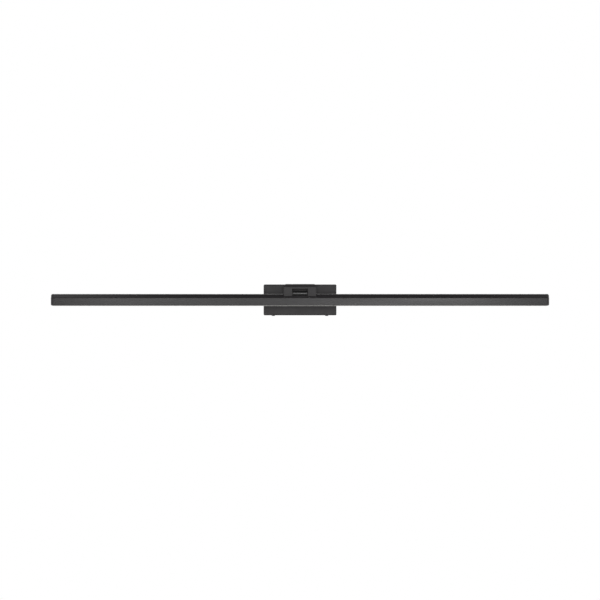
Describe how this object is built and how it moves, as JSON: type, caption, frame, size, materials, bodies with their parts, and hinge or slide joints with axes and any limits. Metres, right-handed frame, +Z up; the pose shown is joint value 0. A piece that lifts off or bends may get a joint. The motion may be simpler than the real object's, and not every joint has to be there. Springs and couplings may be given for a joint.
{
  "type": "vanity light bar",
  "caption": "Slim horizontal LED bar with a frosted lens, tilting on a friction hinge and short arm from a small rectangular wall canopy.",
  "frame": {"origin": "centre of the wall strap's rear face, on the wall plane", "axes": "+X along the bar to the viewer's right, +Y into the wall, +Z up; the front faces -Y"},
  "size_m": [0.914, 0.0615, 0.0589],
  "materials": {
    "satin_black_metal": "satin black powder coat",
    "black_extrusion": "satin black coated aluminium extrusion",
    "black_casting": "satin black coated die casting",
    "frosted_lens": "frosted translucent diffuser",
    "zinc_steel": "zinc plated steel",
    "bright_steel": "bright steel fastener",
    "brass": "turned brass",
    "black_foam": "closed-cell foam",
    "black_rubber": "moulded rubber",
    "black_plastic": "moulded acetal",
    "white_plastic": "moulded nylon",
    "circuit_board_green": "solder mask",
    "circuit_board_white": "white solder mask",
    "yellow_tape": "taped winding",
    "blue_sleeve": "shrink sleeve",
    "black_wire": "wire insulation",
    "white_wire": "wire insulation",
    "green_wire": "wire insulation",
    "red_wire": "wire insulation"
  },
  "bodies": {
    "wall_side": {"wall_strap": "zinc_steel", "ground_lug": "brass", "ground_screw": "brass", "wall_gasket": "black_foam", "canopy": "satin_black_metal", "set_screw_right": "satin_black_metal", "set_screw_left": "satin_black_metal", "arm_plate": "zinc_steel", "arm_screw_right": "bright_steel", "arm_screw_left": "bright_steel", "lead_grommet": "black_rubber", "driver_case": "white_plastic", "driver_lid": "white_plastic", "driver_board": "circuit_board_green", "driver_transformer": "yellow_tape", "driver_input_capacitor": "blue_sleeve", "driver_output_capacitor": "blue_sleeve", "driver_nut_left": "bright_steel", "driver_nut_right": "bright_steel", "terminal_block": "white_plastic", "live_lead": "black_wire", "neutral_lead": "white_wire", "ground_lead": "green_wire", "supply_lead": "red_wire", "arm": "black_casting", "friction_washer_right": "black_plastic", "friction_washer_left": "black_plastic", "disc_spring_right": "bright_steel", "disc_spring_left": "bright_steel", "pivot_sleeve": "brass", "pivot_nut": "brass", "pivot_bolt": "bright_steel"},
    "light_bar": {"bar_housing": "black_extrusion", "pivot_saddle": "black_casting", "lens": "frosted_lens", "board_jumper": "white_plastic", "lead_connector": "white_plastic", "bar_lead": "red_wire", "led_board_right": "circuit_board_white", "led_board_left": "circuit_board_white", "end_cap_right": "black_casting", "end_cap_left": "black_casting", "pivot_cap_right": "satin_black_metal", "pivot_cap_left": "satin_black_metal", "saddle_screw_right_1": "bright_steel", "saddle_screw_right_2": "bright_steel", "saddle_screw_left_1": "bright_steel", "saddle_screw_left_2": "bright_steel", "board_screw_right_1": "bright_steel", "board_screw_right_2": "bright_steel", "board_screw_left_1": "bright_steel", "board_screw_left_2": "bright_steel", "end_cap_screw_right_1": "satin_black_metal", "end_cap_screw_right_2": "satin_black_metal", "end_cap_screw_left_1": "satin_black_metal", "end_cap_screw_left_2": "satin_black_metal"}
  },
  "joints": [
    {"name": "bar_tilt", "type": "hinge", "parent": "wall_side", "child": "light_bar", "pos_m": [0, -0.052, 0.0118], "axis": [1, 0, 0], "range_deg": [-90, 45]}
  ]
}
